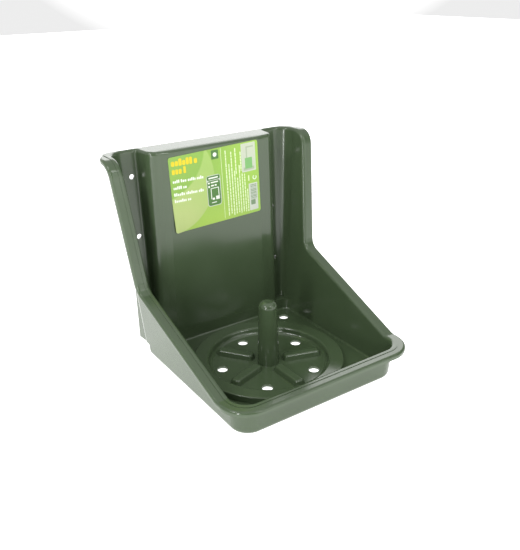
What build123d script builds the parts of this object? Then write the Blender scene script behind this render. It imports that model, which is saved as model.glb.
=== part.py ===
from build123d import *
import math
import os

# A wall-hung holder for a lick stone: a drafted square tray with a seat ring and a centre post, two wings with
# screw flanges, and a hollow column up the back. One plastic moulding and one printed label.
# Construction frame: X right, Y towards the wall, Z up, with the centre of the post on the tray floor at zero.
# Millimetres. The finished pieces are moved so that the origin is at the bottom centre of the bounding box.

# ---- walls of the moulding ----
WALL = 3.0
DRAFT = 0.0765  # outward run of a wall per millimetre of height
FLOOR_HALF = 109.5  # half width of the tray floor
TRAY_BACK = 109.6  # inner face of the tray's back wall
FRONT_CORNER_R = 20.0
TRAY_BACK_CORNER_R = 10.0
TRAY_BACK_OUTER_R = 7.0
BOTTOM_EDGE_R = 7.0
FLOOR_EDGE_R = 3.0

# ---- screw flanges, which lean back with the draft ----
FLANGE_Y0 = 122.9  # front face of the flanges at floor height
FLANGE_CORNER_R0 = 10.5  # corner radius at floor height
FLANGE_CORNER_GROWTH = 0.035  # gain of that radius per millimetre of height
FLANGE_ROOT_R = 3.5
CHANNEL_FLOOR = 16.0  # height of the ledge below each flange
MOUNT_PLANE_Y = 147.0
SCREW_X = 101.3
SCREW_Z = (75.5, 151.0, 226.5)
SCREW_D = 6.4
REAR_RIB_X = 107.0  # centre of the upright ribs behind the flanges
REAR_RIB_ROOT = 9.0  # height at which those ribs start on the tray
REAR_RIB_FOOT = 5.5  # height at which they start on the mounting plane
RIB_REACH = 4.0  # how far they run forward into the rounded corner of the wall

# ---- rim: height of the walls along the side ----
FRONT_Z = 39.5
TOP_Z = 259.0
SLOPE_START_Y = -88.0
KINK_Y, KINK_Z = 79.0, 104.0
WING_LEAN = 0.147
KINK_R = 16.0
SLOPE_R = 14.0
WING_TOP_R = 22.0
OVER_RIM = TOP_Z + 5.0  # height to which blocks are drawn before the rim trims them

# ---- lip round the rim ----
LIP_RUN = 16.5
LIP_THICK = 3.0
LIP_DROP = 6.5  # height of the down-turned edge
LIP_STEP_RUN = 6.5
LIP_STEP = 0.6
LIP_FRONT_R = 34.0
LIP_BACK_R = 27.0
STEP_CORNER_CUT = 10.0  # how much smaller the corner radii of the inner band are
INNER_EDGE_R = 4.2
OUTER_EDGE_R = 3.0

# ---- back column ----
COLUMN_Y0 = 109.6  # front face at floor height
COLUMN_LEAN = 0.0054
COLUMN_TAPER = 0.020
COLUMN_FLAT = 70.0  # half width of the flat front at floor height
COLUMN_BEVEL = 79.0
COLUMN_BEVEL_DEPTH = 1.1
COLUMN_CORNER_R0 = 6.5  # radius of the front corners at floor height
COLUMN_CORNER_GROWTH = 0.025  # gain of that radius per millimetre of height
COLUMN_SIDE = 95.3
COLUMN_SIDE_DEPTH = 25.0
COLUMN_ROOT = 96.6
COLUMN_NOSE = 1.0  # how far the front corner stands in from the side, and back from the bevel
COLUMN_EMBED = 1.0  # how far the column's block stands behind the tray's back wall

# ---- seat ring, ribs and post on the tray floor ----
RING_OUTER_R = 95.0
RING_INNER_R = 76.1
RING_INNER_SLOPE = 3.1
RING_HEIGHT = 8.6
RING_EDGE_R = 1.6
RING_INNER_EDGE_R = 3.5
RING_TOE_RUN, RING_TOE_RISE, RING_TOE_R = 2.6, 2.4, 4.0  # concave foot of the inner side
RIB_START_R, RIB_END_R = 19.0, 69.0
RIB_WIDTH, RIB_HEIGHT = 15.4, 6.8
RIB_TOP_WIDTH = 11.4
RIB_CORNER_R = 5.5
RIB_EDGE_R = 3.0
POST_BASE_D, POST_TOP_D = 27.3, 22.6
POST_HEIGHT = 84.5
POST_SHOULDER_R = 7.0

# ---- drain holes ----
COUNT = 5  # drains on the circle, with a rib between each two
DRAIN_D = 13.0
DRAIN_CIRCLE_R = 59.7
DRAIN_FIRST_ANGLE = 18.0
CORNER_DRAIN_D = 12.6
CORNER_DRAIN_AT = 88.0
DRAIN_EDGE_R = 0.8

# ---- label ----
LABEL_W, LABEL_H = 129.0, 96.5
LABEL_THICK = 0.3
LABEL_Z = 204.2
LABEL_TILT = 2.2
LABEL_CORNER_R = 3.0

FAR = 400.0
CLEAR = 10.0  # how far a cutter runs past the face that it opens
ON_BASE = (Align.CENTER, Align.CENTER, Align.MIN)


def wall_at(z, grow=0.0):
    """Half width of the tub at height z, grown outwards."""
    return FLOOR_HALF + DRAFT * z + grow


def flange_at(z):
    """Front face of the screw flanges at height z."""
    return FLANGE_Y0 + DRAFT * z


def flange_corner_at(z):
    """Radius between a flange and its side wall at height z."""
    return FLANGE_CORNER_R0 + FLANGE_CORNER_GROWTH * z


def column_corner_at(z):
    """Radius of the column's front corners at height z."""
    return COLUMN_CORNER_R0 + COLUMN_CORNER_GROWTH * z


def corners_at(sketch, x, y):
    """Corners of a sketch at (x, y) and at its mirror image (-x, y)."""
    return [v for v in sketch.vertices() if math.hypot(abs(v.X) - x, v.Y - y) < 0.01]


def tub_section(z, grow, back, front_r, back_r):
    """Rounded plan of the tub at height z."""
    half = wall_at(z, grow)
    outline = make_face(Polyline((-half, -half), (half, -half), (half, back), (-half, back), close=True))
    outline = fillet(corners_at(outline, half, -half), front_r)
    return Pos(0, 0, z) * fillet(corners_at(outline, half, back), back_r)


def tub_block(z_low, z_high, grow, back, front_r, back_r):
    """Drafted block between two heights; back and back_r are pairs, for the low and the high end."""
    low = tub_section(z_low, grow, back[0], front_r, back_r[0])
    high = tub_section(z_high, grow, back[1], front_r, back_r[1])
    return loft([low, high], ruled=True)


def tray_block(z_low, grow, back_r):
    """Lower part of the tub, in front of its upright back wall."""
    back = TRAY_BACK + grow
    return tub_block(z_low, CHANNEL_FLOOR, grow, (back, back), FRONT_CORNER_R + grow, (back_r, back_r))


def lip_block(run, less=0.0, back=MOUNT_PLANE_Y):
    """Block as wide as the lip at the given run, with corner radii reduced by less."""
    back_r = LIP_BACK_R - less
    return tub_block(0, OVER_RIM, run, (back, back), LIP_FRONT_R - less, (back_r, back_r))


def mirrored(points):
    """The points of a right half followed by those of the left half."""
    return points + [(-x, y) for x, y in reversed(points)]


def column_outline(z, inset=0.0):
    """Points of the right half of the column's plan at height z, from the middle to the flange."""
    taper = -COLUMN_TAPER * z
    front = COLUMN_Y0 + COLUMN_LEAN * z + inset
    corner_x = COLUMN_SIDE - inset + taper
    return [
        (COLUMN_FLAT + taper, front),
        (COLUMN_BEVEL + taper, front + COLUMN_BEVEL_DEPTH),
        (corner_x - COLUMN_NOSE, front + COLUMN_BEVEL_DEPTH + COLUMN_NOSE),
        (COLUMN_ROOT - inset + taper, front + COLUMN_SIDE_DEPTH),
    ]


def wing_section(z):
    """Plan of the space between the wings at height z, bounded at the back by the flanges and the column."""
    half = wall_at(z)
    back = flange_at(z)
    flat, bevel, corner, root = column_outline(z)
    run = (back - corner[1]) / (root[1] - corner[1])
    root = (corner[0] + (root[0] - corner[0]) * run, back)
    right = [(half, -half), (half, back), root, corner, bevel, flat]
    outline = make_face(Polyline(*mirrored(right), close=True))
    rounded = [
        ((half, -half), FRONT_CORNER_R),
        ((half, back), flange_corner_at(z)),
        (root, FLANGE_ROOT_R),
        (corner, column_corner_at(z)),
    ]
    for (x, y), radius in rounded:
        outline = fillet(corners_at(outline, x, y), radius)
    return Pos(0, 0, z) * outline


def below_rim(drop=0.0):
    """Solid that holds everything more than drop below the rim."""
    bends = [
        (SLOPE_START_Y, FRONT_Z, SLOPE_R),
        (KINK_Y, KINK_Z, KINK_R),
        (KINK_Y + WING_LEAN * (TOP_Z - KINK_Z), TOP_Z, WING_TOP_R),
    ]
    rim = [(y, z) for y, z, radius in bends]
    frame = [(-FAR, -FAR), (-FAR, FRONT_Z)] + rim + [(FAR, TOP_Z), (FAR, -FAR)]
    profile = make_face(Polyline(*frame, close=True))
    for y, z, radius in bends:
        bend = [v for v in profile.vertices() if math.hypot(v.X - y, v.Y - z) < 0.01]
        profile = fillet(bend, radius)
    if drop:
        profile = offset(profile, -drop, kind=Kind.INTERSECTION)
    return extrude(Plane.YZ * profile, FAR / 2, both=True)


def outer_mass():
    """Outside of the moulding, before anything is hollowed."""
    tray = tray_block(-WALL, WALL, TRAY_BACK_OUTER_R)
    tray = fillet(tray.faces().sort_by(Axis.Z)[0].edges(), BOTTOM_EDGE_R)
    low = CHANNEL_FLOOR - WALL
    back = (flange_at(low) + WALL, flange_at(OVER_RIM) + WALL)
    back_r = (flange_corner_at(low) + WALL, flange_corner_at(OVER_RIM) + WALL)
    wings = tub_block(low, OVER_RIM, WALL, back, FRONT_CORNER_R + WALL, back_r)
    return tray + wings + column_mass() + rear_ribs()


def column_mass():
    """Solid block that the column is hollowed from, with its rear face on the mounting plane."""
    front = TRAY_BACK + COLUMN_EMBED
    sections = []
    for z in (-WALL, OVER_RIM):
        half = COLUMN_ROOT - COLUMN_TAPER * z
        face = make_face(Polyline(*mirrored([(half, MOUNT_PLANE_Y), (half, front)]), close=True))
        sections.append(Pos(0, 0, z) * face)
    return loft(sections, ruled=True)


def rear_ribs():
    """Upright ribs that carry the leaning flanges on the flat mounting plane."""
    side_view = [
        (TRAY_BACK, REAR_RIB_ROOT),
        (MOUNT_PLANE_Y, REAR_RIB_FOOT),
        (MOUNT_PLANE_Y, TOP_Z),
        (flange_at(TOP_Z) - RIB_REACH, TOP_Z),
        (flange_at(CHANNEL_FLOOR) - RIB_REACH, CHANNEL_FLOOR),
    ]
    profile = Plane.YZ * make_face(Polyline(*side_view, close=True))
    rib = extrude(profile, WALL / 2, both=True)
    return Pos(-REAR_RIB_X, 0, 0) * rib + Pos(REAR_RIB_X, 0, 0) * rib


def column_hollow():
    """Space inside the column, open at the back and underneath."""
    sections = []
    for z in (-WALL - CLEAR, TOP_Z - WALL):
        flat, bevel, corner, root = column_outline(z, WALL)
        behind = (root[0], MOUNT_PLANE_Y + CLEAR)
        outline = make_face(Polyline(*mirrored([behind, root, corner, bevel, flat]), close=True))
        bends = corners_at(outline, corner[0], corner[1])
        sections.append(Pos(0, 0, z) * fillet(bends, column_corner_at(z) - WALL))
    return loft(sections, ruled=True)


def cavity():
    """Space inside the tray and between the wings."""
    tray = tray_block(0, 0, TRAY_BACK_CORNER_R)
    tray = fillet(tray.faces().sort_by(Axis.Z)[0].edges(), FLOOR_EDGE_R)
    wings = loft([wing_section(CHANNEL_FLOOR), wing_section(OVER_RIM)], ruled=True)
    return tray + wings


def edges_on_both(body, first, second):
    """Edges of the body that lie on a face from each of two lists."""

    def touches(point, faces):
        probe = Vertex(point.X, point.Y, point.Z)
        return min(face.distance_to(probe) for face in faces) < 0.01

    chosen = []
    for edge in body.edges():
        probes = [edge @ 0.1, edge @ 0.5]
        if all(touches(point, first) and touches(point, second) for point in probes):
            chosen.append(edge)
    return chosen


def lip(rim):
    """Outward lip: a raised inner band, a lower outer band with a rounded edge, and a down-turned edge."""
    outside = lip_block(LIP_RUN)
    sides = [face for face in outside.faces() if face.center().Y < MOUNT_PLANE_Y - 1.0]
    low_rim = below_rim(LIP_STEP)
    outer_band = outside & low_rim
    outer_band = fillet(edges_on_both(outer_band, low_rim.faces(), sides), OUTER_EDGE_R)
    inner_band = lip_block(LIP_STEP_RUN, STEP_CORNER_CUT, MOUNT_PLANE_Y + CLEAR) & outside & rim
    inside_edge = lip_block(LIP_RUN - WALL, WALL, MOUNT_PLANE_Y + CLEAR)
    plate = (outer_band + inner_band) - below_rim(LIP_THICK)
    edge = (outer_band - inside_edge) - below_rim(LIP_DROP)
    return plate + edge


def rimmed_shell():
    """The walls with the lip, with the inner edge of the rim rounded."""
    rim = below_rim()
    inside = cavity()
    body = (outer_mass() & rim) + lip(rim) - inside
    rim_faces = [face for face in rim.faces() if face.center().Z > 0 and abs(face.center().X) < 1.0]
    return fillet(edges_on_both(body, rim_faces, inside.faces()), INNER_EDGE_R)


def seat_ring():
    """Raised annular seat with a sloped inner side."""
    foot = RING_INNER_R - RING_INNER_SLOPE
    bends = [
        (foot + RING_INNER_SLOPE * RING_TOE_RISE / RING_HEIGHT, RING_TOE_RISE, RING_TOE_R),
        (RING_INNER_R, RING_HEIGHT, RING_INNER_EDGE_R),
        (RING_OUTER_R, RING_HEIGHT, RING_EDGE_R),
    ]
    upper = [(r, z) for r, z, radius in bends]
    outline = [(RING_OUTER_R, 0), (foot - RING_TOE_RUN, 0)] + upper
    section = make_face(Polyline(*outline, close=True))
    for r, z, radius in bends:
        section = fillet(corners_at(section, r, z), radius)
    return revolve(Plane.XZ * section, Axis.Z)


def seat_ring_core():
    """Groove under the seat ring, which keeps the wall even."""
    core = Cylinder(RING_OUTER_R - WALL, RING_HEIGHT, align=ON_BASE)
    core -= Cylinder(RING_INNER_R + WALL, RING_HEIGHT, align=ON_BASE)
    return Pos(0, 0, -WALL) * core


def ribs():
    """Radial ribs between the post and the seat ring, with sloped sides and rounded edges."""
    length = RIB_END_R - RIB_START_R
    slope = math.degrees(math.atan((RIB_WIDTH - RIB_TOP_WIDTH) / 2 / RIB_HEIGHT))
    rib = extrude(RectangleRounded(length, RIB_WIDTH, RIB_CORNER_R), RIB_HEIGHT, taper=slope)
    rib = fillet(rib.faces().sort_by(Axis.Z)[-1].edges(), RIB_EDGE_R)
    step = 360.0 / COUNT
    first = DRAIN_FIRST_ANGLE + step / 2
    return [Rot(0, 0, first + i * step) * Pos(RIB_START_R + length / 2, 0, 0) * rib for i in range(COUNT)]


def post():
    """Tapered post with a rounded top."""
    solid = Cone(POST_BASE_D / 2, POST_TOP_D / 2, POST_HEIGHT, align=ON_BASE)
    return fillet(solid.edges().filter_by(GeomType.CIRCLE).sort_by(Axis.Z)[-1], POST_SHOULDER_R)


def post_core():
    """Hollow of the post, open from underneath."""
    base_r = POST_BASE_D / 2 - WALL
    core = Cone(base_r, POST_TOP_D / 2 - WALL, POST_HEIGHT - WALL, align=ON_BASE)
    core = fillet(core.edges().filter_by(GeomType.CIRCLE).sort_by(Axis.Z)[-1], POST_SHOULDER_R - WALL)
    return core + Pos(0, 0, -WALL) * Cylinder(base_r, WALL, align=ON_BASE)


def drain_holes():
    """Drains between the ribs and in the four corners of the floor."""
    cutters = []
    for i in range(COUNT):
        angle = math.radians(DRAIN_FIRST_ANGLE + i * 360.0 / COUNT)
        at = (DRAIN_CIRCLE_R * math.cos(angle), DRAIN_CIRCLE_R * math.sin(angle), 0)
        cutters.append(Pos(*at) * Cylinder(DRAIN_D / 2, 2 * CLEAR))
    for x in (-CORNER_DRAIN_AT, CORNER_DRAIN_AT):
        for y in (-CORNER_DRAIN_AT, CORNER_DRAIN_AT):
            cutters.append(Pos(x, y, 0) * Cylinder(CORNER_DRAIN_D / 2, 3 * WALL))
    return cutters


def drain_rims(body):
    """Upper rims of the drains, on the tray floor."""
    radii = (DRAIN_D / 2, CORNER_DRAIN_D / 2)
    on_floor = [e for e in body.edges().filter_by(GeomType.CIRCLE) if abs(e.center().Z) < 0.01]
    return [e for e in on_floor if min(abs(e.radius - r) for r in radii) < 0.01]


def screw_holes():
    """Screw holes, three down each flange."""
    cutters = []
    for x in (-SCREW_X, SCREW_X):
        for z in SCREW_Z:
            cutters.append(Pos(x, flange_at(z), z) * Rot(90, 0, 0) * Cylinder(SCREW_D / 2, 2 * CLEAR))
    return cutters


def holder_body():
    """The whole moulding."""
    body = rimmed_shell() - column_hollow()
    body += seat_ring()
    body -= seat_ring_core()
    for rib in ribs():
        body += rib
    body += post()
    body -= post_core()
    for cutter in drain_holes():
        body -= cutter
    body = fillet(drain_rims(body), DRAIN_EDGE_R)
    for cutter in screw_holes():
        body -= cutter
    return body


def product_label():
    """Sticker that lies on the flat front of the column, turned a little."""
    plate = RectangleRounded(LABEL_W, LABEL_H, LABEL_CORNER_R)
    lean = math.degrees(math.atan(COLUMN_LEAN))
    face_y = COLUMN_Y0 + COLUMN_LEAN * LABEL_Z
    place = Pos(0, face_y, LABEL_Z) * Rot(90 - lean, 0, 0) * Rot(0, 0, LABEL_TILT)
    return place * extrude(plate, LABEL_THICK)


def main():
    os.makedirs("parts", exist_ok=True)
    body = holder_body()
    box = body.bounding_box()
    to_origin = Pos(0, -(box.min.Y + box.max.Y) / 2, -box.min.Z)
    pieces = {"holder_body": body, "product_label": product_label()}
    for name, piece in pieces.items():
        export_step(to_origin * piece, f"parts/{name}.step")
    print("origin is moved by", to_origin.position, "valid:", body.is_valid, "solids:", len(body.solids()))


main()
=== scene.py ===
import math
import random
from collections import namedtuple

import bmesh
import bpy
from mathutils import Matrix, Vector


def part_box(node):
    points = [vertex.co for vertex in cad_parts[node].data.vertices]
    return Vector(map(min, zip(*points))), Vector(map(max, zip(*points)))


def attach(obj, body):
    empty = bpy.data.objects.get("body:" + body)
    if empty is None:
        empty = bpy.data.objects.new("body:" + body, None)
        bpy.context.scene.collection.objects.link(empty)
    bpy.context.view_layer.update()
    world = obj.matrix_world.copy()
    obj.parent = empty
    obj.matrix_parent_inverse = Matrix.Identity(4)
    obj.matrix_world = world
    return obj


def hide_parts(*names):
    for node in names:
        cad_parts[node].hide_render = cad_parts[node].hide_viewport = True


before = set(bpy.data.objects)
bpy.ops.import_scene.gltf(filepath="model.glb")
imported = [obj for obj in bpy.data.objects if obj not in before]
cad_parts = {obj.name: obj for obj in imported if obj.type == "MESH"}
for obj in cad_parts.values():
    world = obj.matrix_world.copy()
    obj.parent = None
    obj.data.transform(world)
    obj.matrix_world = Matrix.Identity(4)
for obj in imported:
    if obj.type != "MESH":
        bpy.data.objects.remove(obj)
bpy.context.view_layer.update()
random.seed(11)
scene = bpy.context.scene

MM = 0.001

# ---------------------------------------------------------------- camera
# Where it is and its axes are in metres, its lens and sensor in millimetres.
CAMERA_AT = Vector((-0.41807, -0.61627, 0.44948))
CAMERA_RIGHT = Vector((0.82640, -0.56288, -0.015487))
CAMERA_BACK = Vector((-0.50950, -0.75918, 0.40506))
LENS = 44.077
SENSOR = 36.0
CLIP_NEAR, CLIP_FAR = 0.01, 50.0


def camera():
    data = bpy.data.cameras.new("camera")
    obj = bpy.data.objects.new("camera", data)
    scene.collection.objects.link(obj)
    right = CAMERA_RIGHT.normalized()
    back = (CAMERA_BACK - CAMERA_BACK.dot(right) * right).normalized()
    up = back.cross(right)
    obj.matrix_world = Matrix((
        (right.x, up.x, back.x, CAMERA_AT.x),
        (right.y, up.y, back.y, CAMERA_AT.y),
        (right.z, up.z, back.z, CAMERA_AT.z),
        (0, 0, 0, 1),
    ))
    data.sensor_width = SENSOR
    data.lens = LENS
    data.clip_start = CLIP_NEAR
    data.clip_end = CLIP_FAR
    data.dof.use_dof = False
    scene.camera = obj


# ---------------------------------------------------------------- colours
def linear(level):
    """Linear value of an 8-bit sRGB level."""
    level = level / 255.0
    return level / 12.92 if level <= 0.04045 else ((level + 0.055) / 1.055) ** 2.4


def srgb(red, green, blue):
    return (linear(red), linear(green), linear(blue), 1.0)


def grey(level):
    return (level, level, level, 1)


# The plastic's two greens are linear values.
GREEN_DEEP = (0.054, 0.082, 0.041, 1)
GREEN_LIGHT = (0.060, 0.091, 0.046, 1)

LIME = srgb(124, 165, 44)
LIME_RIGHT = srgb(138, 180, 47)
LIME_LOW = srgb(148, 184, 56)
LIME_MID = srgb(145, 178, 79)
LIME_PALE = srgb(166, 184, 106)
LIME_TITLE = srgb(122, 165, 46)

INK_COLOURS = {
    "ink_white": srgb(228, 234, 220),
    "ink_paper": srgb(192, 198, 185),
    "ink_pale": srgb(218, 232, 186),
    "ink_yellow": srgb(218, 196, 0),
    "ink_dark_green": srgb(66, 114, 42),
    "ink_photo_grey": srgb(186, 194, 172),
    "ink_photo_shade": srgb(158, 172, 144),
    "ink_leaf_green": srgb(114, 172, 98),
    "ink_bars": srgb(110, 136, 100),
}


# ---------------------------------------------------------------- node helpers
def new_material(name):
    material = bpy.data.materials.new(name)
    material.use_nodes = True
    tree = material.node_tree
    return material, tree, tree.nodes["Principled BSDF"]


def add(tree, kind, **values):
    """New node whose sockets, or else its settings, take the named values."""
    node = tree.nodes.new(kind)
    for key, value in values.items():
        if key in node.inputs:
            node.inputs[key].default_value = value
        else:
            setattr(node, key, value)
    return node


def noise(tree, coord, scale, detail=3.0, rough=0.5):
    node = add(tree, "ShaderNodeTexNoise", Scale=scale, Detail=detail, Roughness=rough)
    tree.links.new(coord, node.inputs["Vector"])
    return node.outputs["Fac"]


def ramp(tree, value, low, high, at_low=0.0, at_high=1.0):
    """Runs from at_low to at_high while the value goes from low to high, and stays level beyond."""
    node = add(tree, "ShaderNodeMapRange")
    tree.links.new(value, node.inputs["Value"])
    node.inputs["From Min"].default_value = low
    node.inputs["From Max"].default_value = high
    node.inputs["To Min"].default_value = at_low
    node.inputs["To Max"].default_value = at_high
    return node.outputs["Result"]


# Numbers of the mix node's sockets, when it mixes colours.
MIX_SHARE, MIX_FIRST, MIX_SECOND, MIX_RESULT = 0, 6, 7, 2


def mix(tree, share, first, second):
    """The first colour where the share is 0, the second where it is 1. Each is a socket or a value."""
    node = tree.nodes.new("ShaderNodeMix")
    node.data_type = "RGBA"
    for socket, value in ((MIX_SHARE, share), (MIX_FIRST, first), (MIX_SECOND, second)):
        if isinstance(value, bpy.types.NodeSocket):
            tree.links.new(value, node.inputs[socket])
        else:
            node.inputs[socket].default_value = value
    return node.outputs[MIX_RESULT]


def bump(tree, height, strength, distance, under=None):
    """Bumped normal, on top of the one under it if there is one."""
    node = add(tree, "ShaderNodeBump", Strength=strength, Distance=distance)
    tree.links.new(height, node.inputs["Height"])
    if under is not None:
        tree.links.new(under, node.inputs["Normal"])
    return node.outputs["Normal"]


# ---------------------------------------------------------------- moulded green plastic
PLASTIC_ROUGH_LOW, PLASTIC_ROUGH_HIGH = 0.14, 0.20
PLASTIC_IOR = 1.52


def green_plastic():
    """Glossy moulding: a cloudy green, uneven gloss, fine peel and a long faint wave."""
    material, tree, shader = new_material("moulded_green_plastic")
    coord = add(tree, "ShaderNodeTexCoord").outputs["Object"]
    cloud = ramp(tree, noise(tree, coord, scale=14.0, detail=4.0), 0.35, 0.65)
    tree.links.new(mix(tree, cloud, GREEN_DEEP, GREEN_LIGHT), shader.inputs["Base Color"])
    rub = noise(tree, coord, scale=60.0, detail=5.0, rough=0.6)
    gloss = ramp(tree, rub, 0.3, 0.7, PLASTIC_ROUGH_LOW, PLASTIC_ROUGH_HIGH)
    tree.links.new(gloss, shader.inputs["Roughness"])
    shader.inputs["IOR"].default_value = PLASTIC_IOR
    peel = bump(tree, noise(tree, coord, scale=180.0, detail=2.0), strength=0.05, distance=0.00001)
    swell = noise(tree, coord, scale=16.0, detail=1.0)
    wave = bump(tree, swell, strength=0.25, distance=0.0008, under=peel)
    tree.links.new(wave, shader.inputs["Normal"])
    return material


def holder_body():
    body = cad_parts["holder_body"]
    body.data.materials.clear()
    body.data.materials.append(green_plastic())


# ---------------------------------------------------------------- where the label lies
# From here to the floor, places are in millimetres on the label: u from its left edge, v down from its top.
LABEL_W, LABEL_H = 129.0, 96.5
LABEL_CORNER = 3.0
LABEL_TILT = math.radians(2.2)
FILM = 0.30
FILM_UNDERSIDE = 0.02
# The column's face comes forward by this much for each unit down.
FACE_LEAN = 0.0054

# The lower left corner lifts, and the film round it bulges a little: height, where that starts, the length
# over which it grows, and the width, from the left edge, that it takes in.
CORNER_LIFT, LIFT_FROM, LIFT_OVER, LIFT_WIDTH = 1.7, 52, 46, 16
BULGE, BULGE_FROM, BULGE_OVER, BULGE_WIDTH = 0.25, 70, 25, 60

label_low, label_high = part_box("product_label")
LABEL_AT = (label_low + label_high) / 2
ALONG = Vector((math.cos(LABEL_TILT), 0, math.sin(LABEL_TILT)))
DOWN = Vector((math.sin(LABEL_TILT), -FACE_LEAN, -math.cos(LABEL_TILT))).normalized()
OUT = DOWN.cross(ALONG).normalized()


def smooth(x):
    """Soft step from 0 to 1 while x goes from 0 to 1."""
    x = min(max(x, 0.0), 1.0)
    return x * x * (3 - 2 * x)


def on_label(u, v, rise):
    """Point of the label, rise mm over the column's face where the film lies flat."""
    lift = CORNER_LIFT * smooth((v - LIFT_FROM) / LIFT_OVER) * smooth((LIFT_WIDTH - u) / LIFT_WIDTH)
    lift += BULGE * smooth((v - BULGE_FROM) / BULGE_OVER) * smooth((BULGE_WIDTH - u) / BULGE_WIDTH)
    flat = LABEL_AT + ALONG * ((u - LABEL_W / 2) * MM) + DOWN * ((v - LABEL_H / 2) * MM)
    return flat + OUT * ((rise + lift - FILM / 2) * MM)


def as_piece(bm, name, material):
    """Turns the mesh into an object that rides on the one body."""
    bmesh.ops.recalc_face_normals(bm, faces=bm.faces)
    mesh = bpy.data.meshes.new(name)
    bm.to_mesh(mesh)
    bm.free()
    obj = bpy.data.objects.new(name, mesh)
    scene.collection.objects.link(obj)
    mesh.materials.append(material)
    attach(obj, "root")
    return obj


# ---------------------------------------------------------------- label film
GRID_ACROSS, GRID_DOWN = 60, 44
# One unit of the film's map is 100 mm.
MAP_UNIT = 100.0
FILM_ROUGH_LOW, FILM_ROUGH_HIGH = 0.34, 0.46
# The grain whitens the film by up to this share.
FILM_GRAIN = 0.05

# Discs of the printed ground: centre, radius, and half the width of the soft edge.
GLOW_RIGHT = (150, 40, 75, 25)
GLOW_LOW = (62, 118, 50, 20)
GLOW_PALE = (10, 92, 50, 30)
DISC_WORDS = (-3, 33, 65, 0.6)
DISC_TITLE = (-15, -12, 66, 1.2)


def film_material():
    """Printed lime film: a plain ground with lighter glows, two crisp discs and a faint grain."""
    material, tree, shader = new_material("lime_label_film")
    uv = add(tree, "ShaderNodeUVMap", uv_map="label_mm").outputs["UV"]

    def inside(disc):
        u, v, radius, soft = disc
        distance = add(tree, "ShaderNodeVectorMath", operation="DISTANCE")
        tree.links.new(uv, distance.inputs[0])
        distance.inputs[1].default_value = (u / MAP_UNIT, v / MAP_UNIT, 0)
        near, far = (radius - soft) / MAP_UNIT, (radius + soft) / MAP_UNIT
        return ramp(tree, distance.outputs["Value"], near, far, 1.0, 0.0)

    ground = mix(tree, inside(GLOW_RIGHT), LIME, LIME_RIGHT)
    ground = mix(tree, inside(GLOW_LOW), ground, LIME_LOW)
    pale = mix(tree, inside(GLOW_PALE), LIME_MID, LIME_PALE)
    ground = mix(tree, inside(DISC_WORDS), ground, pale)
    ground = mix(tree, inside(DISC_TITLE), ground, LIME_TITLE)
    grain = ramp(tree, noise(tree, uv, scale=320.0, detail=2.0), 0.35, 0.65, 0.0, FILM_GRAIN)
    tree.links.new(mix(tree, grain, ground, grey(1)), shader.inputs["Base Color"])
    gloss = ramp(tree, noise(tree, uv, scale=26.0, detail=4.0), 0.3, 0.7, FILM_ROUGH_LOW, FILM_ROUGH_HIGH)
    tree.links.new(gloss, shader.inputs["Roughness"])
    wave = bump(tree, noise(tree, uv, scale=9.0, detail=1.5), strength=0.25, distance=0.0012)
    tree.links.new(wave, shader.inputs["Normal"])
    return material


def soft_corner(u, v):
    """Pulls the grid's corner points onto the rounded corner."""
    centre_u = min(max(u, LABEL_CORNER), LABEL_W - LABEL_CORNER)
    centre_v = min(max(v, LABEL_CORNER), LABEL_H - LABEL_CORNER)
    du, dv = u - centre_u, v - centre_v
    distance = math.hypot(du, dv)
    if distance > LABEL_CORNER:
        du, dv = du * LABEL_CORNER / distance, dv * LABEL_CORNER / distance
    return centre_u + du, centre_v + dv


def label_film():
    """A closed sheet: the same grid of points on the film's face and on its underside, joined by a rim."""
    bm = bmesh.new()
    uv_layer = bm.loops.layers.uv.new("label_mm")

    def point(i, j, rise):
        u, v = LABEL_W * i / GRID_ACROSS, LABEL_H * j / GRID_DOWN
        return bm.verts.new(on_label(*soft_corner(u, v), rise)), u, v

    def face(corners):
        made = bm.faces.new([vertex for vertex, u, v in corners])
        for loop, (vertex, u, v) in zip(made.loops, corners):
            loop[uv_layer].uv = (u / MAP_UNIT, v / MAP_UNIT)

    sheets = []
    for rise in (FILM, FILM_UNDERSIDE):
        sheets.append([[point(i, j, rise) for i in range(GRID_ACROSS + 1)] for j in range(GRID_DOWN + 1)])
    for sheet in sheets:
        for j in range(GRID_DOWN):
            for i in range(GRID_ACROSS):
                face([sheet[j][i], sheet[j][i + 1], sheet[j + 1][i + 1], sheet[j + 1][i]])
    top, under = sheets
    rim = [(0, i) for i in range(GRID_ACROSS)] + [(j, GRID_ACROSS) for j in range(GRID_DOWN)]
    rim += [(GRID_DOWN, i) for i in range(GRID_ACROSS, 0, -1)] + [(j, 0) for j in range(GRID_DOWN, 0, -1)]
    for (j0, i0), (j1, i1) in zip(rim, rim[1:] + rim[:1]):
        face([top[j0][i0], under[j0][i0], under[j1][i1], top[j1][i1]])
    obj = as_piece(bm, "label_film", film_material())
    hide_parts("product_label")


# ---------------------------------------------------------------- printing on the label
# Layers of ink lie this far apart over the film, and each patch reaches down into the film.
INK_LAYER = 0.01
INK_DEPTH = 0.1
INK_ROUGH = 0.42
INK_ROUGH_SPREAD = 0.06
INK_GRAIN_SHADE = 0.90
# A side is at least this many corner radii long, so that the corners don't meet.
CORNERS_APART = 2.01
CORNER_STEPS = 4
DISC_STEPS = 24
RING_STEPS = 28


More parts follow.
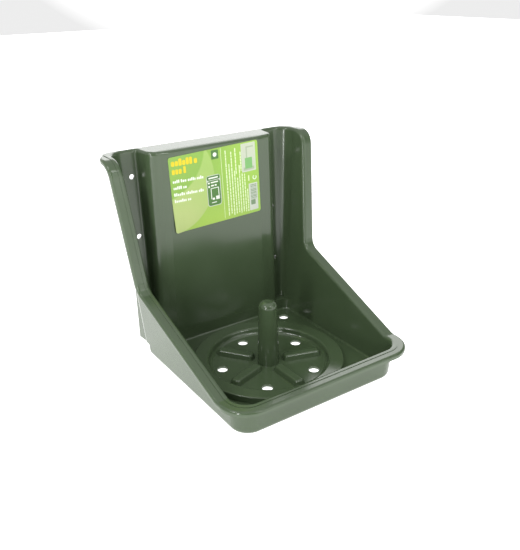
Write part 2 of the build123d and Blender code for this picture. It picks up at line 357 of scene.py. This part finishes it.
def ink_material(name, colour):
    material, tree, shader = new_material(name)
    coord = add(tree, "ShaderNodeTexCoord").outputs["Object"]
    grain = ramp(tree, noise(tree, coord, scale=2600.0, detail=2.0), 0.3, 0.7)
    shade = tuple(level * INK_GRAIN_SHADE for level in colour[:3]) + (1.0,)
    tree.links.new(mix(tree, grain, shade, colour), shader.inputs["Base Color"])
    low, high = INK_ROUGH - INK_ROUGH_SPREAD, INK_ROUGH + INK_ROUGH_SPREAD
    gloss = ramp(tree, noise(tree, coord, scale=300.0), 0.3, 0.7, low, high)
    tree.links.new(gloss, shader.inputs["Roughness"])
    return material


def on_circle(u, v, radius, degrees):
    angle = math.radians(degrees)
    return u + radius * math.cos(angle), v + radius * math.sin(angle)


def rounded(box, radius):
    """Outline of a rounded rectangle. A box is its left edge, top, right edge and bottom."""
    left, top, end, bottom = box
    corners = (
        (end - radius, top + radius, -90),
        (end - radius, bottom - radius, 0),
        (left + radius, bottom - radius, 90),
        (left + radius, top + radius, 180),
    )
    outline = []
    for u, v, start in corners:
        for k in range(CORNER_STEPS + 1):
            outline.append(on_circle(u, v, radius, start + 90 * k / CORNER_STEPS))
    return outline


class Ink:
    """Collects thin printed patches of one colour into one piece."""

    def __init__(self, name, material, layer):
        self.name = name
        self.material = material
        self.top = FILM + layer * INK_LAYER
        self.bm = bmesh.new()

    def patch(self, outline):
        upper = [self.bm.verts.new(on_label(u, v, self.top)) for u, v in outline]
        lower = [self.bm.verts.new(on_label(u, v, FILM - INK_DEPTH)) for u, v in outline]
        self.bm.faces.new(upper)
        self.bm.faces.new(list(reversed(lower)))
        count = len(outline)
        for k in range(count):
            after = (k + 1) % count
            self.bm.faces.new((upper[k], lower[k], lower[after], upper[after]))

    def block(self, box, corner):
        """Rounded rectangle, with smaller corners where it is too small for the ones asked for."""
        left, top, end, bottom = box
        self.patch(rounded(box, min(corner, (end - left) / CORNERS_APART, (bottom - top) / CORNERS_APART)))

    def disc(self, u, v, radius):
        self.patch([on_circle(u, v, radius, 360 * k / DISC_STEPS) for k in range(DISC_STEPS)])

    def arc(self, u, v, radius, width, start, span):
        """Part of a ring, from the start angle over the span, in degrees."""
        for k in range(RING_STEPS):
            here = start + span * k / RING_STEPS
            there = start + span * (k + 1) / RING_STEPS
            outer = [on_circle(u, v, radius, here), on_circle(u, v, radius, there)]
            inner = [on_circle(u, v, radius - width, there), on_circle(u, v, radius - width, here)]
            self.patch(outer + inner)

    def finish(self):
        obj = as_piece(self.bm, self.name, self.material)


# ---------------------------------------------------------------- lines of type
# A line is its left edge, top and right edge. A letter's width lies between narrow and wide.
Type = namedtuple("Type", "height gap narrow wide")
TITLE_TYPE = Type(height=6.2, gap=0.7, narrow=3.2, wide=4.6)
TITLE_LINES = ((3.5, 5.4, 43.0), (3.5, 15.6, 26.0))
WORD_TYPE = Type(height=2.9, gap=0.55, narrow=1.5, wide=2.4)
WORD_LINES = ((3.4, 29.6, 46.5), (3.4, 37.8, 22.0), (3.4, 46.2, 46.5), (3.4, 54.4, 27.0))
LETTERS_IN_WORD = (3, 7)
# Gap between words in letter gaps, share and rise of tall letters, and corner of a letter by its size.
WORD_GAP = 2.6
TALL_SHARE = 0.3
TALL_RISE = 0.42
LETTER_CORNER = 0.35
# A line drops by this much for each millimetre to the right.
LINE_SLOPE = 0.045


def type_line(ink, line, kind):
    """A line of plain blocks that stand for letters."""
    left, top, end = line
    at = left
    letters = random.randint(*LETTERS_IN_WORD)
    while at < end - kind.narrow:
        width = random.uniform(kind.narrow, kind.wide)
        tall = random.random() < TALL_SHARE
        rise = kind.height * (TALL_RISE if tall else 0.0)
        drop = LINE_SLOPE * (at - left)
        box = (at, top - rise + drop, min(at + width, end), top + kind.height + drop)
        ink.block(box, LETTER_CORNER * min(width, kind.height))
        at += width + kind.gap
        letters -= 1
        if letters <= 0:
            at += kind.gap * WORD_GAP
            letters = random.randint(*LETTERS_IN_WORD)


def label_title():
    ink = Ink("label_title", inks["ink_yellow"], layer=3)
    for line in TITLE_LINES:
        type_line(ink, line, TITLE_TYPE)
    ink.finish()


def label_words():
    ink = Ink("label_words", inks["ink_white"], layer=3)
    for line in WORD_LINES:
        type_line(ink, line, WORD_TYPE)
    ink.finish()


# ---------------------------------------------------------------- fine print, which runs down the label
# A column is its left edge, top and bottom.
FINE_COLUMNS = (
    (79.2, 5.5, 92.5), (83.4, 24.0, 91.0), (87.4, 8.5, 93.0), (91.2, 34.0, 92.0), (93.6, 5.0, 40.0),
    (95.0, 44.0, 91.0), (98.6, 28.0, 92.5), (101.2, 11.0, 36.0), (102.4, 40.0, 91.5),
    (106.0, 41.0, 92.5), (109.4, 62.0, 93.0),
)
FINE_WIDTH = 1.45
FINE_RUN = (1.6, 5.5)
FINE_GAP = (0.45, 0.9)
FINE_END = 1.0
HAIRLINE = (73.0, 1.2, 73.5, 94.0)
SHORT_LINE = (112.2, 44.4, 113.7, 51.8)


def label_fine_print():
    ink = Ink("label_fine_print", inks["ink_pale"], layer=3)
    ink.block(HAIRLINE, corner=0.1)
    for left, top, bottom in FINE_COLUMNS:
        at = top
        while at < bottom - FINE_END:
            run = random.uniform(*FINE_RUN)
            ink.block((left, at, left + FINE_WIDTH, min(at + run, bottom)), corner=0.3)
            at += run + random.uniform(*FINE_GAP)
    ink.block(SHORT_LINE, corner=0.4)
    ink.finish()


# ---------------------------------------------------------------- panels and what is drawn on them
PANEL_LEFT, PANEL_RIGHT = 50.5, 69.3
HEAD_PANEL = (PANEL_LEFT, 33.8, PANEL_RIGHT, 39.1)
DRAWING_PANEL = (PANEL_LEFT, 39.9, PANEL_RIGHT, 72.6)
BADGE_PANEL = (59.4, 1.9, 69.8, 13.4)
BOTH_PANELS = (PANEL_LEFT, HEAD_PANEL[1], PANEL_RIGHT, DRAWING_PANEL[3])
PICTURE = (104.2, 2.6, 124.1, 38.2)
CODE_PAPER = (112.2, 55.8, 125.6, 92.6)
PICTURE_BARS = ((110.6, 6.0, 112.4, 21.0), (110.6, 6.0, 122.0, 7.8), (106.0, 33.0, 122.5, 37.0))
PICTURE_BLOCK = (108.6, 20.8, 119.6, 35.0)
PANEL_MARGIN = 0.8
BADGE_DOT = (64.6, 7.7)
ARC_CENTRE = (122.0, 48.6)

PANEL_MARKS = (
    # line on the head panel
    (53.0, 35.7, 66.8, 37.4),
    # two rows of captions, each with a small square before it
    (55.8, 41.6, 66.5, 43.2), (51.8, 41.6, 54.2, 43.6),
    (55.8, 45.6, 60.0, 47.4), (61.2, 45.6, 64.0, 47.4), (51.8, 46.0, 54.2, 48.6),
    # frame of the drawing: top and two sides
    (55.0, 49.6, 67.0, 50.5), (55.0, 49.6, 56.0, 64.0), (66.0, 49.6, 67.0, 64.0),
    # two feet and a line under them
    (56.8, 62.6, 60.0, 65.2), (62.0, 61.0, 67.4, 65.4), (55.2, 68.3, 62.5, 69.3),
)


def with_margin(box):
    left, top, end, bottom = box
    return left - PANEL_MARGIN, top - PANEL_MARGIN, end + PANEL_MARGIN, bottom + PANEL_MARGIN


def label_panel_edge():
    ink = Ink("label_panel_edge", inks["ink_paper"], layer=2)
    ink.block(with_margin(BOTH_PANELS), corner=3.6)
    ink.block(with_margin(PICTURE), corner=0.6)
    ink.block(CODE_PAPER, corner=0.6)
    ink.finish()


def label_panel():
    ink = Ink("label_panel", inks["ink_dark_green"], layer=4)
    ink.block(DRAWING_PANEL, corner=2.9)
    ink.block(HEAD_PANEL, corner=1.6)
    ink.block(BADGE_PANEL, corner=0.9)
    ink.finish()


def label_panel_marks():
    ink = Ink("label_panel_marks", inks["ink_white"], layer=6)
    ink.disc(*BADGE_DOT, radius=2.7)
    for box in PANEL_MARKS:
        ink.block(box, corner=0.4)
    ink.arc(*ARC_CENTRE, radius=3.0, width=1.0, start=-40, span=290)
    ink.finish()


def label_inset():
    """A plain picture: a pale ground, three darker bars and a green block."""
    ground = Ink("label_inset", inks["ink_photo_grey"], layer=4)
    ground.block(PICTURE, corner=0.4)
    ground.finish()
    shade = Ink("label_inset_shade", inks["ink_photo_shade"], layer=5)
    for bar in PICTURE_BARS:
        shade.block(bar, corner=0.5)
    shade.finish()
    green = Ink("label_inset_block", inks["ink_leaf_green"], layer=6)
    green.block(PICTURE_BLOCK, corner=0.8)
    green.finish()


# ---------------------------------------------------------------- random bars
BARS_LEFT, BARS_RIGHT = 114.6, 124.2
BARS_TOP, BARS_BOTTOM = 57.6, 78.0
BAR_WIDTHS = (0.35, 0.55, 0.9)
BAR_GAPS = (0.4, 0.6, 0.9)
BARS_FOOT = (BARS_LEFT, 78.6, 121.6, 85.2)


def label_bars():
    ink = Ink("label_bars", inks["ink_bars"], layer=4)
    at = BARS_TOP
    while at < BARS_BOTTOM:
        width = random.choice(BAR_WIDTHS)
        ink.block((BARS_LEFT, at, BARS_RIGHT, at + width), corner=0.05)
        at += width + random.choice(BAR_GAPS)
    ink.block(BARS_FOOT, corner=0.6)
    ink.finish()


# ---------------------------------------------------------------- floor, in metres from here on
FLOOR_HALF = 6.0
FLOOR_DROP = 0.0003
FLOOR_GLOW = 1.0
FLOOR_ROUGH = 0.7
FLOOR_DEEP, FLOOR_PALE = 0.86, 0.9


def floor_material():
    material, tree, shader = new_material("pale_floor")
    coord = add(tree, "ShaderNodeTexCoord").outputs["Object"]
    tone = mix(tree, noise(tree, coord, scale=3.0), grey(FLOOR_DEEP), grey(FLOOR_PALE))
    tree.links.new(tone, shader.inputs["Base Color"])
    shader.inputs["Roughness"].default_value = FLOOR_ROUGH
    shader.inputs["Emission Color"].default_value = grey(1)
    shader.inputs["Emission Strength"].default_value = FLOOR_GLOW
    return material


def pale_floor():
    mesh = bpy.data.meshes.new("floor")
    bm = bmesh.new()
    bmesh.ops.create_grid(bm, x_segments=1, y_segments=1, size=FLOOR_HALF)
    bm.to_mesh(mesh)
    bm.free()
    floor = bpy.data.objects.new("floor", mesh)
    scene.collection.objects.link(floor)
    floor.location = (0, 0, -FLOOR_DROP)
    mesh.materials.append(floor_material())


# ---------------------------------------------------------------- surroundings
# Brightness by direction. The window is a bright field behind the object, brighter in its upper part.
TOP, FRONT, BACK, LEFT, RIGHT, HORIZON = 1.05, 0.15, 0.8, 0.5, 0.2, 0.85
WINDOW_LOW, WINDOW_HIGH = 2.2, 3.5
WINDOW_TO = Vector((0.53, 0.80, 0.33)).normalized()


def studio_world():
    world = bpy.data.worlds.new("studio")
    scene.world = world
    world.use_nodes = True
    tree = world.node_tree
    sky = tree.nodes["Background"]
    direction = add(tree, "ShaderNodeTexCoord").outputs["Generated"]
    split = add(tree, "ShaderNodeSeparateXYZ")
    tree.links.new(direction, split.inputs[0])
    toward = add(tree, "ShaderNodeVectorMath", operation="DOT_PRODUCT")
    tree.links.new(direction, toward.inputs[0])
    toward.inputs[1].default_value = WINDOW_TO

    def facing(axis, start, full):
        """Share from 0 to 1 by how far the direction leans along the axis, which is -1 to 1."""
        return ramp(tree, split.outputs[axis], start, full)

    window = mix(tree, facing("Z", 0.27, 0.37), grey(WINDOW_LOW), grey(WINDOW_HIGH))
    level = grey(FRONT)
    for share, brightness in (
        (facing("X", -0.35, -0.8), grey(LEFT)),
        (facing("X", 0.35, 0.8), grey(RIGHT)),
        (facing("Y", 0.15, 0.75), grey(BACK)),
        (facing("Z", 0.20, 0.10), grey(HORIZON)),
        (ramp(tree, toward.outputs["Value"], 0.90, 0.955), window),
        (facing("Z", 0.55, 0.85), grey(TOP)),
    ):
        level = mix(tree, share, level, brightness)
    tree.links.new(level, sky.inputs["Color"])
    sky.inputs["Strength"].default_value = 1.0


# ---------------------------------------------------------------- lamps
AIM_LOW = (0, 0, 0.1)
AIM_HIGH = (0, 0, 0.15)


def soft_light(name, at, target, size, power, tall=None):
    """Area lamp: a disc, or a rectangle where a height is given."""
    data = bpy.data.lights.new(name, "AREA")
    data.shape = "RECTANGLE" if tall else "DISK"
    data.size = size
    if tall:
        data.size_y = tall
    data.energy = power
    lamp = bpy.data.objects.new(name, data)
    scene.collection.objects.link(lamp)
    lamp.location = at
    lamp.rotation_mode = "QUATERNION"
    lamp.rotation_quaternion = (Vector(at) - Vector(target)).to_track_quat("Z", "Y")


def lamps():
    soft_light("soft_left", (-0.98, -0.10, 1.26), AIM_LOW, size=0.34, power=4.6)
    soft_light("soft_high", (0.24, -0.96, 1.26), AIM_LOW, size=0.34, power=3.2)
    soft_light("soft_right", (0.6, -1.2, 0.65), AIM_LOW, size=0.8, power=4.6, tall=1.0)
    soft_light("tall_left", (-1.25, -0.75, 0.55), AIM_HIGH, size=0.08, power=7.5, tall=0.9)


# ---------------------------------------------------------------- the scene
# The title, the words, the fine print and the bars draw random numbers, in this order.
camera()
holder_body()
label_film()
inks = {name: ink_material(name, colour) for name, colour in INK_COLOURS.items()}
label_title()
label_words()
label_fine_print()
label_panel_edge()
label_panel()
label_panel_marks()
label_inset()
label_bars()
pale_floor()
studio_world()
lamps()

scene.view_settings.view_transform = "Standard"
scene.view_settings.look = "None"
